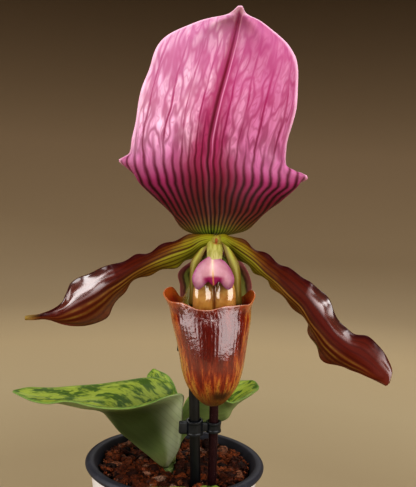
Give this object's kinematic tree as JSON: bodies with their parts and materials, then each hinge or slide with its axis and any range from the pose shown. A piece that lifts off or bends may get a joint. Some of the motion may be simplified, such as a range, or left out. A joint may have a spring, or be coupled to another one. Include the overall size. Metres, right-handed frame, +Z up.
{
  "type": "potted slipper orchid",
  "caption": "Slipper orchid in flower: pink upright sepal, two drooping petals and a maroon pouch on a staked stem, rising from mottled leaves in bark in a small pot.",
  "frame": {"origin": "middle of the cover pot's flat foot, on the surface the pot stands on", "axes": "+Z up; the flower faces -Y; +X to the right of someone facing the flower"},
  "size_m": [0.1372, 0.155, 0.2481],
  "materials": {
    "cover_pot": "smooth glossy white",
    "grow_pot": "satin dark grey plastic",
    "bark": "rough damp red-brown bark chips",
    "crown": "smooth green leaf base",
    "scape": "dark maroon, finely hairy",
    "bract": "green with maroon streaks, finely hairy",
    "ovary": "maroon-green, ribbed, finely hairy",
    "stake": "smooth black plastic",
    "clip": "moulded black plastic",
    "leaf": "satin, dark green chequered on yellow-green",
    "dorsal_sepal": "satin pink with crimson veins, green at the base",
    "synsepal": "satin green with dark veins",
    "petal": "glossy maroon-brown, olive stripes, green base",
    "lip": "glossy maroon-red, ochre at edges and toe",
    "column": "satin pink shield on a yellow-green column"
  },
  "bodies": {
    "root": {"cover_pot": "cover_pot", "grow_pot": "grow_pot", "bark_mix": "bark", "crown_old": "crown", "crown_new": "crown", "scape": "scape", "bract": "bract", "ovary": "ovary", "stake": "stake", "clip_lower": "clip", "clip_upper": "clip", "leaf_left": "leaf", "leaf_right": "leaf", "leaf_back": "leaf", "leaf_front_left": "leaf", "leaf_front_right": "leaf", "dorsal_sepal": "dorsal_sepal", "synsepal": "synsepal", "petal_left": "petal", "petal_right": "petal", "lip": "lip", "column": "column"}
  },
  "joints": []
}
